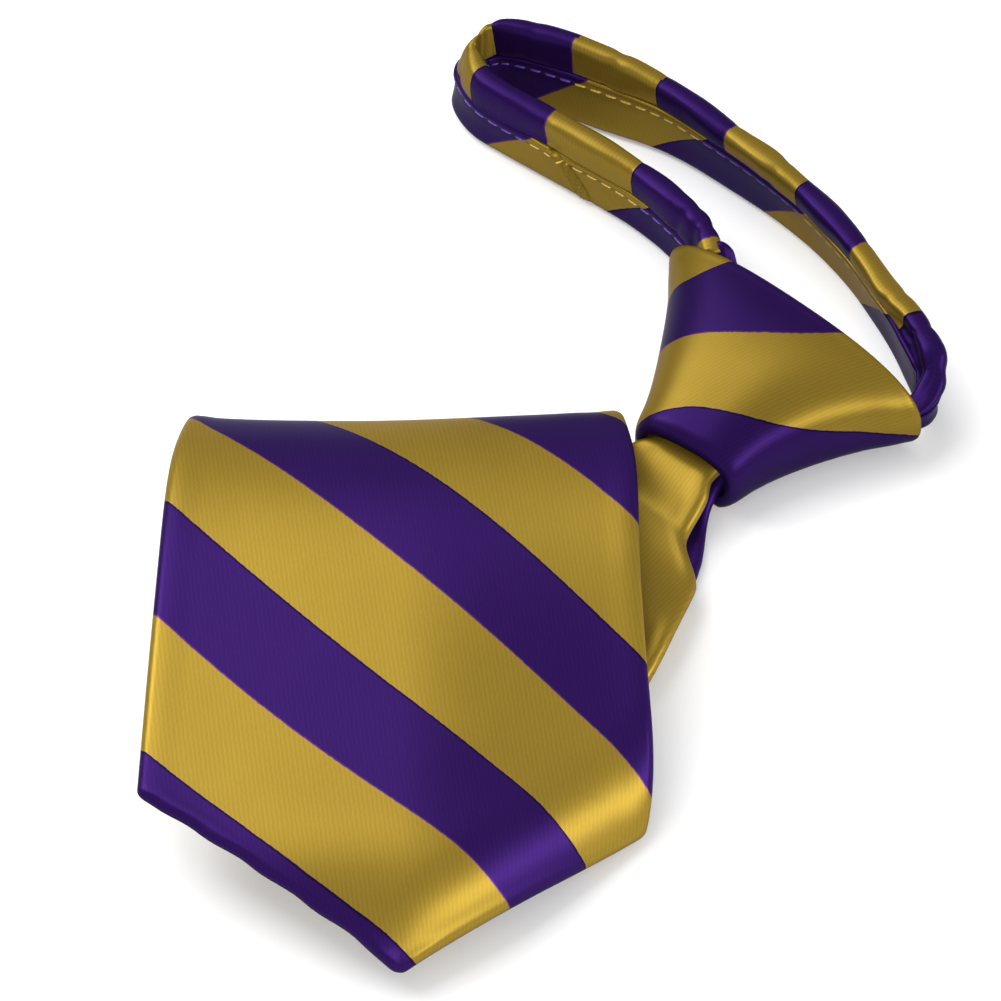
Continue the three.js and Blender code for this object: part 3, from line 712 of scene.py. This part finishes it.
# Half a profile, which the tables make fuller or flatter along the band, and its mirror image. The far turn's
# tent is a section with a ridge.
def makeRoll():
    frames = bandFrames(560, 0.012, 0.992)
    along = frames["along"]
    hem = readTable(hemLine, along)
    wide, tall = readTable(rollShape, along, 1), readTable(rollShape, along, 2)
    bulb = (band["height"] - hem) * tall
    share = np.linspace(0, 1, 34)[None, :]
    # small creases where the cloth gathers, leaning a little over the roll's height
    away = 2 * share - 1
    crease = sum(depth * bell(along, place + lean * away, width) for place, depth, width, lean in rollCreases)
    ripple = 0.03 * np.sin(along / 1.9 + 5 * share) + 0.03 * np.sin(along / 3.3 - 6 * share)
    swell = 1 - crease + ripple * smoothStep(share, 0.1, 0.4)
    tent = 0.8 * bell(along, 67.5, 5.5)
    full, level = readTable(rollProfile, share, 1), readTable(rollProfile, share, 2)
    peaked = np.minimum(full, 1.05 * (1 - level) + 0.04)
    bulge = band["roll"] / 2 * wide * swell * (full + (peaked - full) * tent)
    bulgeHeight = hem + bulb * level * (1 - 0.25 * crease * share)
    foot = 1.3 * band["leaf"] + band["gap"]
    tongue = band["casingThick"] / 2 - band["leaf"] - band["gap"]
    low = np.linspace(0, 1, 5)[None, :-1]
    tongueHeight = foot + low * (bulgeHeight[:, :1] - 0.3 - foot)
    tongueSide = tongue * 0.85 + 0 * tongueHeight
    rightHeight = np.concatenate([tongueHeight, bulgeHeight], 1)
    right = np.concatenate([tongueSide, bulge], 1)
    outward = rollShift(along) * smoothStep(rightHeight - hem, -0.3, 1.2)
    side = np.concatenate([right - outward, (-right - outward)[:, ::-1]], 1)
    height = np.concatenate([rightHeight, rightHeight[:, ::-1]], 1)
    points = bandPoints(frames, side, height)
    over = np.concatenate([rightHeight - band["height"], band["height"] - rightHeight[:, ::-1]], 1)
    stripes = closeColumns(stripeTurns(rollStripes, along + 0.18 * over))
    weave = closeColumns(np.stack([along + 0.4 * over, over + 0 * along], 2))
    return makePiece(
        "neck_band_roll_cloth", points, stripes, weave, shadedSatin, "neck_band_roll"
    )


casing = makeCasing()
roll = makeRoll()
print("neck band")

# The topstitch, in mm along the band
stitch = {
    "length": 2.1,
    "gap": 0.8,
    "thick": 0.42,
    "proud": 0.1,  # its middle lies this far outside the cloth
    "start": 7.0,
    "end": 181.0,
    "sides": 8,
    "rings": 8,
}


# Every stitch is a short bar with round ends: a circle that swells and shrinks along the band's face.
def makeStitches():
    count = int((stitch["end"] - stitch["start"]) / (stitch["length"] + stitch["gap"]))
    places = 3000
    fine = bandFrames(places)
    reach = np.linspace(0, 1, stitch["rings"])
    turn = 2 * np.pi * np.arange(stitch["sides"]) / stitch["sides"]
    centres = stitch["start"] + (np.arange(count) + 0.5) * (stitch["length"] + stitch["gap"])
    rows, hues = [], []
    for sign in (1, -1):
        along = (centres[:, None] + (reach[None, :] - 0.5) * stitch["length"]).ravel()
        pick = np.clip(np.searchsorted(fine["along"][:, 0], along), 0, places - 1)
        frames = {key: value[pick] for key, value in fine.items()}
        hem = readTable(hemLine, along)[:, None]
        level = hem - band["stitchDrop"] + 0.05 * np.sin(along * 2.1)[:, None]
        swell = np.tile(np.sqrt(np.clip(1 - (2 * reach - 1) ** 6, 0.004, 1)), count)[:, None]
        radius = 0.5 * stitch["thick"] * swell
        face = casingSide(level, hem) + casingWaves(along[:, None], level, sign)
        side = sign * (face + stitch["proud"] + radius * np.cos(turn)[None, :])
        points = bandPoints(frames, side, level + radius * np.sin(turn)[None, :])
        rows.append(points.reshape(count, stitch["rings"], stitch["sides"], 3))
        measure = centres - sign * band["bias"] * level.reshape(count, -1).mean(1)
        onGold = (stripeTurns(casingStripes, measure) / satin["period"]) % 1 < satin["goldShare"]
        hues.append(onGold)
    return np.concatenate(rows), np.concatenate(hues)


# One mesh of many closed bars: rings along each, with a face of its own at both ends.
def barsMesh(name, bars, hues, materials):
    count, rings, sides = bars.shape[:3]
    i, j = np.meshgrid(np.arange(rings - 1) * sides, np.arange(sides), indexing="ij")
    beside = (j + 1) % sides
    quad = np.stack([i + j, i + sides + j, i + sides + beside, i + beside], -1).reshape(-1, 4)
    k = np.arange(sides // 2 - 1)
    cap = np.stack([k, k + 1, sides - 2 - k, sides - 1 - k], 1)
    one = np.vstack([quad, cap, cap[:, ::-1] + (rings - 1) * sides])
    faces = (one[None] + (np.arange(count) * rings * sides)[:, None, None]).reshape(-1, 4)
    flat = (bars + layoutPlace).reshape(-1, 3) * millimetre
    a, b, c, d = (flat[faces[:, n]] for n in range(4))
    origin = np.repeat(flat.reshape(count, -1, 3).mean(1), len(one), 0)
    a, b, c, d = a - origin, b - origin, c - origin, d - origin
    part = (a * np.cross(b, c)).sum(1) + (a * np.cross(c, d)).sum(1)
    outward = np.repeat(part.reshape(count, -1).sum(1) > 0, len(one))
    faces = np.where(outward[:, None], faces, faces[:, ::-1])
    mesh = bpy.data.meshes.new(name)
    mesh.from_pydata(flat.tolist(), [], faces.tolist())
    mesh.polygons.foreach_set("use_smooth", np.ones(len(faces), bool))
    mesh.polygons.foreach_set("material_index", np.repeat(hues.astype(np.int32), len(one)))
    ringPlace = np.tile(np.repeat(np.linspace(0, stitch["length"], rings), sides), count)
    sidePlace = np.tile(np.arange(sides) * 0.12, count * rings)
    spread = np.stack([ringPlace, sidePlace], 1)[faces.ravel()]
    mesh.uv_layers.new(name="weave").data.foreach_set("uv", spread.ravel())
    mesh.update(calc_edges=True)
    return finishPiece(name, mesh, materials)


stitchBars, stitchHues = makeStitches()
stitches = barsMesh("band_topstitch", stitchBars, stitchHues, [lilacThread, goldThread])
print("topstitch")


# Tail and zipper, in mm
tail = {
    "length": 34,
    "width": 28,
    "thick": 2.2,
    "heading": -120,
    "inset": 6,
    "zipperWidth": 5,
    "zipperThick": 0.9,
    "zipperLength": 32,
    "toothStep": 1.5,
}
# Share of the length, half width as a share of half the width
tailEdges = [(-0.17, 0.4), (0.0, 0.46), (0.14, 0.5), (0.4, 0.74), (0.8, 0.92), (1.0, 0.92)]
mouth = knotPoint(0.0, knot["length"], 0.0)
tailForward, tailRight = heading(tail["heading"]), heading(tail["heading"] + 90)


# The tail's own axes: so far to its right, so far along from the knot's mouth, so far up.
def tailPoints(across, along, height):
    across, along, height = np.broadcast_arrays(across, along, height)
    points = mouth + along[..., None] * tailForward + across[..., None] * tailRight
    points[..., 2] = height
    return points


# The tail comes out of the mouth above the wrap and comes down to the surface.
def tailLift(along):
    return (knot["wrap"] + knot["gap"]) * (1 - smoothStep(along, 0, 8.4))


# Flat sections with round sides, and a notch below that holds the zipper.
def makeTail():
    edge = tail["thick"] / 2
    along = np.linspace(-tail["inset"], tail["length"], 150)[:, None]
    close = np.clip((tail["length"] - along) / edge, 0, 1)
    half = readTable(tailEdges, along / tail["length"]) * tail["width"] / 2
    ended = np.sqrt(1 - (1 - close) ** 2)
    half = half - edge * (1 - ended)
    thick = tail["thick"] * (0.35 + 0.65 * ended)
    turn = np.linspace(-np.pi / 2, np.pi / 2, 12)[None, :]
    notch = tail["zipperWidth"] / 2 + knot["gap"]
    roof = (tail["zipperThick"] + knot["gap"]) / tail["thick"]
    topAcross = np.linspace(1, -1, 30)[None, 1:-1]
    puff = 1 + 0.05 * np.cos(topAcross * np.pi)
    low = np.linspace(0, 1, 7)[None, :]
    inner = half - edge
    side = joinColumns(
        notch + low * (inner - notch),
        inner + edge * np.cos(turn),
        inner * topAcross,
        -inner - edge * np.cos(turn),
        -(notch + low[:, ::-1] * (inner - notch)),
        np.array([[-notch + 0.05, notch - 0.05]]),
    )
    level = joinColumns(
        0 * low, 0.5 + 0.5 * np.sin(turn), puff, 0.5 - 0.5 * np.sin(turn), 0 * low, np.full((1, 2), roof)
    )
    # turned so that point k lies opposite point count - 1 - k
    side, level = np.roll(side, 1, 1), np.roll(level, 1, 1)
    points = tailPoints(side, along, tailLift(along) + level * thick)
    points[..., 2] = np.maximum(points[..., 2], 0.0)
    stripes = closeColumns((along - side) / math.sqrt(2) - 0.225 * satin["period"])
    weave = closeColumns(np.stack([side + 0.17 * along, along + 0 * side], 2))
    return makePiece("tail_cloth", points, stripes, weave, wovenSatin, "tail")


# A flat bar whose underside carries two rows of coil teeth that mesh, as a wave across the bar.
def makeZipper():
    along = np.linspace(tail["length"] - tail["zipperLength"], tail["length"] - 0.8, 420)[:, None]
    half = tail["zipperWidth"] / 2
    underAcross = np.linspace(-half + 0.3, half - 0.3, 31)[None, :]
    row = np.where(underAcross < 0, 0.0, np.pi)
    tooth = np.clip(np.sin(2 * np.pi * along / tail["toothStep"] + row), -0.2, 1)
    inCoil = bell(np.abs(underAcross), 0.75, 0.62) * (np.abs(underAcross) < 2)
    under = 0.42 - 0.34 * tooth * inCoil - 0.1 * smoothStep(np.abs(underAcross), 1.3, 1.7)
    topAcross = np.linspace(half - 0.3, -half + 0.3, 31)[None, :]
    side = np.concatenate([underAcross + 0 * along, topAcross + 0 * along], 1)
    side[:, [0, 61]] = -half
    side[:, [30, 31]] = half
    level = np.concatenate([under, np.full((len(along), 31), tail["zipperThick"])], 1)
    points = tailPoints(side, along, tailLift(along) + level)
    weave = closeColumns(np.stack([side, along + 0 * side], 2))
    return makePiece("zipper_coil", points, closeColumns(0 * side), weave, nylonTape, "zipper")


tailCloth = makeTail()
makeZipper()
print("tail and zipper")


# The blade, in mm, with its angles in degrees
blade = {
    "width": 77,
    "thick": 2.4,
    "point": 25.6,
    "first": 56.4,
    "middle": 50.7,
    "face": 105,
    "tip": 3.2,
    "foldAngle": 22.5,
    "foldRadius": 2.7,
    "dropWidth": 15,
    "dropTip": 7,
    "dropRadius": 13,
    "sag": 5,
    "heading": -135,
    "inset": 6,
    "outset": 1.1,  # how far the padded point reaches past its middle surface, mm
    "nub": 2.6,  # radius of the tip
    "hiddenShift": 13.0,  # mm that the stripes gain between the first length and the face
}
# Share of the length, left and right half widths as shares of half the width
bladeEdges = [
    (-0.03, 0.165, 0.15), (0.0, 0.178, 0.155), (0.016, 0.222, 0.205), (0.042, 0.235, 0.247),
    (0.052, 0.238, 0.285), (0.068, 0.245, 0.42), (0.078, 0.27, 0.468), (0.16, 0.5, 0.65),
    (0.278, 0.75, 0.765), (0.42, 0.84, 0.84), (0.53, 0.877, 0.872), (0.6, 0.925, 0.915),
    (0.7, 0.952, 0.925), (0.85, 0.986, 0.975), (1.0, 1.005, 1.03),
]
# Pitch of the middle line: share of the middle length up to 1, then 1 plus a share of the face length
foldPitch = [
    (0.0, 0), (0.5, 0.5), (0.96, 1), (1.0, 25), (1.03, 90), (1.06, 140), (1.13, 160), (1.21, 171),
    (1.3, 180), (1.42, 186), (1.6, 187), (1.78, 182), (1.86, 190), (1.93, 207), (2.0, 215),
]
# Share of the first length, height of its ripples as a share of the thickness
ripples = [(0.0, 0.6), (0.1, 0.9), (0.26, 0.05), (0.44, 0.7), (0.62, 0.1), (1.0, 0.0)]
bladeLength = blade["first"] + blade["middle"] + blade["face"]
bladeEnd = bladeLength + blade["outset"] + 0.54
restHeight = blade["thick"] / 2 + 0.05
overTail = tail["thick"] + 1.3 * knot["gap"] + blade["thick"] / 2
inMouth = knot["wrap"] + tail["thick"] + 3 * knot["gap"] + blade["thick"] / 2


# Height of the first length: out of the mouth, over the tail, rippled towards its right edge, then level.
def firstHeight(along, across, past):
    leaving = 1 - smoothStep(along, 0, 10)
    base = overTail + (restHeight - overTail) * smoothStep(past, -14, -2)
    ripple = readTable(ripples, along / blade["first"]) * blade["thick"]
    toEdge = smoothStep(across, 0, 0.4 * blade["width"])
    return base + (inMouth - base) * leaving + ripple * toEdge * (1 - leaving)


# The middle line beyond the slanted fold, summed up in small steps of its pitch.
def foldWalk(step=0.25):
    count = int(math.ceil((blade["middle"] + blade["face"] + 8) / step))
    at = (np.arange(count) + 0.5) * step
    share = np.where(at < blade["middle"], at / blade["middle"], 1 + (at - blade["middle"]) / blade["face"])
    pitch = np.radians(readTable(foldPitch, share))
    away = np.concatenate([[0], np.cumsum(step * np.cos(pitch))])
    return np.arange(count + 1) * step, away, np.concatenate([[0], np.cumsum(step * np.sin(pitch))])


walkAt, walkAway, walkHeight = foldWalk()


# The strip along the point's right edge bends down round a line beside that edge, as round a cylinder.
def edgeDrop(beyond, across):
    half = blade["width"] / 2
    taper = (blade["dropWidth"] - blade["dropTip"]) / math.hypot(blade["point"], half)
    angle = math.atan2(blade["point"], half) + math.atan(taper)
    cos, sin = math.cos(angle), math.sin(angle)
    outward = (beyond - blade["face"] + blade["point"]) * cos + (across - half) * sin
    bent = np.maximum(outward + blade["dropWidth"], 0)
    turn = bent / blade["dropRadius"]
    pull = bent - blade["dropRadius"] * np.sin(turn)
    return beyond - pull * cos, across - pull * sin, blade["dropRadius"] * (1 - np.cos(turn))


# Middle surface of the blade from flat coordinates: flat up to the slanted fold, half a turn round a cylinder
# there, then along the walked line, with the right side sagging.
def bladePoint(along, across):
    fold = math.radians(blade["foldAngle"])
    pastCentre = along - blade["first"]
    past = pastCentre * math.cos(fold) + across * math.sin(fold)
    beside = across * math.cos(fold) - pastCentre * math.sin(fold)
    forward = heading(blade["heading"] + blade["foldAngle"])
    right = heading(blade["heading"] + blade["foldAngle"] + 90)
    origin = mouth + heading(blade["heading"]) * blade["first"]
    radius = blade["foldRadius"]
    flat = origin + past[..., None] * forward + beside[..., None] * right
    flat[..., 2] = firstHeight(along, across, past)
    turn = np.clip(past / radius, 0, np.pi)
    turned = origin + (radius * np.sin(turn))[..., None] * forward + beside[..., None] * right
    turned[..., 2] = restHeight + radius * (1 - np.cos(turn))
    beyond = pastCentre - blade["middle"]
    bent, bentAcross, drop = edgeDrop(beyond, across)
    onFace = beyond > 0
    bent = np.where(onFace, bent, beyond)
    bentAcross = np.where(onFace, bentAcross, across)
    at = bent + blade["middle"]
    away = np.where(at < 0, at, np.interp(at, walkAt, walkAway))
    high = np.where(at < 0, 0, np.interp(at, walkAt, walkHeight))
    sag = blade["sag"] * smoothStep(across, 0, 0.5 * blade["width"])
    sag = sag * smoothStep(beyond, 0.1 * blade["face"], 0.75 * blade["face"])
    back = blade["heading"] + 2 * blade["foldAngle"] + 180
    face = origin + np.pi * radius * forward + away[..., None] * heading(back)
    face = face + bentAcross[..., None] * heading(back - 90)
    face[..., 2] = restHeight + 2 * radius + high - np.where(onFace, drop, 0) - sag
    face = face + topFoldShape(beyond, across)
    return np.where((past <= 0)[..., None], flat, np.where((past < np.pi * radius)[..., None], turned, face))


# The top fold sags in its middle and stands up a little at both corners.
def topFoldShape(beyond, across):
    near = bell(beyond, 0, 16) * smoothStep(beyond, -24, -4)
    middle = 1 - np.clip(np.abs(across + 8) / 34, 0, 1) ** 2
    corner = bell(np.abs(across), 35.5, 4.0)
    shift = np.zeros(np.broadcast(beyond, across).shape + (3,))
    shift[..., 1] = near * (-0.9 * middle + 0.35 * corner + 0.5 * smoothStep(across, -8, 18))
    shift[..., 2] = near * (-0.5 * middle + 0.45 * corner)
    return shift


# Half width of the blade on one side: its table, a soft corner, the straight point and a rounded tip.
def bladeHalf(along, column):
    half = readTable(bladeEdges, along / bladeLength, column) * blade["width"] / 2
    toPoint = (along - bladeLength - blade["outset"] + blade["point"]) / blade["point"]
    wide = softMin(half, half + (blade["tip"] / 2 - half) * toPoint, 1.2)
    nub = np.sqrt(np.clip(blade["nub"] ** 2 - (along - bladeEnd + blade["nub"]) ** 2, 0.04, None))
    return np.where(along > bladeEnd - 0.47, nub, wide)


# How far the pressed cloth pulls the face's stripes: powers of the length and the width, mm
stripePull = {
    (0, 0): -0.15, (0, 1): 0.78, (0, 2): -0.73, (0, 3): -1.33, (1, 0): 3.1, (1, 1): 2.0, (1, 2): -0.46,
    (2, 0): -10.93, (2, 1): 2.36, (3, 0): 10.02,
}


# Measure across the stripes, mm. On the face the pressed cloth pulls them a little off straight.
def bladeStripes(along, across):
    beyond = along - blade["first"] - blade["middle"]
    x, y = np.clip(beyond, 0, None) / 100, across / 40
    pull = sum(c * x**i * y**j for (i, j), c in stripePull.items()) * smoothStep(beyond, -2, 6)
    shift = blade["hiddenShift"] * (1 - smoothStep(along, 40, 98))
    return satin["goldStart"] - (along - across) / math.sqrt(2) - pull + shift


# The middle surface carried out both ways along its normal by half the thickness, with a round edge.
def makeBlade():
    corner = bladeLength + blade["outset"] - blade["point"]
    spans = [
        (-blade["inset"], 46, 96), (46, 80, 90), (80, 100, 24), (100, 124, 84), (124, corner - 3, 54),
        (corner - 3, bladeEnd - 3, 72), (bladeEnd - 3, bladeEnd - 0.4, 18), (bladeEnd - 0.4, bladeEnd, 8),
    ]
    along = [np.linspace(a, b, n, endpoint=False) for a, b, n in spans] + [[bladeEnd]]
    along = np.concatenate(along)[:, None]
    left, right = bladeHalf(along, 1), bladeHalf(along, 2)
    onPoint = smoothStep(along, corner - 2, corner + 2)
    # The round edge reaches further across the slanted sides of the point, so that it looks the same there.
    reach = np.minimum(1.5 + 1.1 * onPoint, 0.48 * np.minimum(left, right))
    arc = np.linspace(0, np.pi / 2, 10)[None, :]
    inward = reach * (1 - np.cos(arc))
    rounded = np.sin(arc) + 0 * along
    middle = np.linspace(0, 1, 46)[None, 1:-1]
    flatPart = -left + reach + middle * (left + right - 2 * reach)
    across = np.concatenate([-left + inward, flatPart, (right - inward)[:, ::-1]], 1)
    edge = np.concatenate([rounded, np.ones_like(flatPart), rounded[:, ::-1]], 1)
    fromEdge = np.minimum(across + left, right - across)
    lengths = np.broadcast_to(along, across.shape)
    # The pressed edge is a touch fuller than the middle, and the blade closes at both ends.
    full = 1 + 0.1 * bell(fromEdge, 2.4, 1.3) - 0.05 * smoothStep(fromEdge, 4, 12)
    close = np.sqrt(np.clip(1 - np.clip((along - bladeEnd + 1.3) / 1.3, 0, 1) ** 2, 0.02, 1))
    close = close * (1 + 0.25 * bell(along, bladeEnd - 2.4, 2.2))
    half = blade["thick"] / 2 * edge * full * close
    # the lower left side of the point is very slightly scalloped
    scallop = 0.22 * np.sin(lengths * 1.15) * bell(across, -left, 5.0)
    scallop = scallop * smoothStep(lengths, corner, corner + 4)
    here = bladePoint(lengths, across + scallop)
    probe = 0.05
    ahead = bladePoint(lengths + probe, across) - bladePoint(lengths - probe, across)
    beside = bladePoint(lengths, across + probe) - bladePoint(lengths, across - probe)
    normal = np.cross(ahead, beside)
    normal /= np.maximum(np.linalg.norm(normal, axis=2, keepdims=True), 1e-9)
    # The back has its two turned-in sides, which meet in a shallow seam along the middle.
    seam = 0.3 * bell(across, 0, 0.7) * smoothStep(bladeLength - 32 - lengths, 0, 6)
    top = here + normal * half[..., None]
    under = here - normal * (half - seam)[..., None]
    points = np.concatenate([top, under[:, ::-1]], 1)
    points[..., 2] = np.maximum(points[..., 2], 0.0)
    stripes = bladeStripes(lengths, across)
    stripes = closeColumns(np.concatenate([stripes, stripes[:, ::-1]], 1))
    weave = np.stack([across - 0.135 * lengths, lengths + 0.135 * across], 2)
    weave = closeColumns(np.concatenate([weave, weave[:, ::-1]], 1))
    piece = makePiece("front_blade_cloth", points, stripes, weave, wovenSatin, "front_blade")
    area = float(((left + right)[:-1, 0] * np.diff(along[:, 0])).sum())
    return piece, area * millimetre**2


frontBlade, bladeArea = makeBlade()
print("blade", round(bladeArea, 5))


# One wide level sheet of paper just under the tie.
def makeFloor():
    mesh = bpy.data.meshes.new("paper_sweep")
    reach, level = 4.0, -0.0002
    mesh.from_pydata(
        [(-reach, -reach, level), (reach, -reach, level), (reach, reach, level), (-reach, reach, level)],
        [],
        [(0, 1, 2, 3)],
    )
    mesh.materials.append(makePaper("mattPaper"))
    floor = bpy.data.objects.new("paper_sweep", mesh)
    bpy.context.collection.objects.link(floor)


makeFloor()
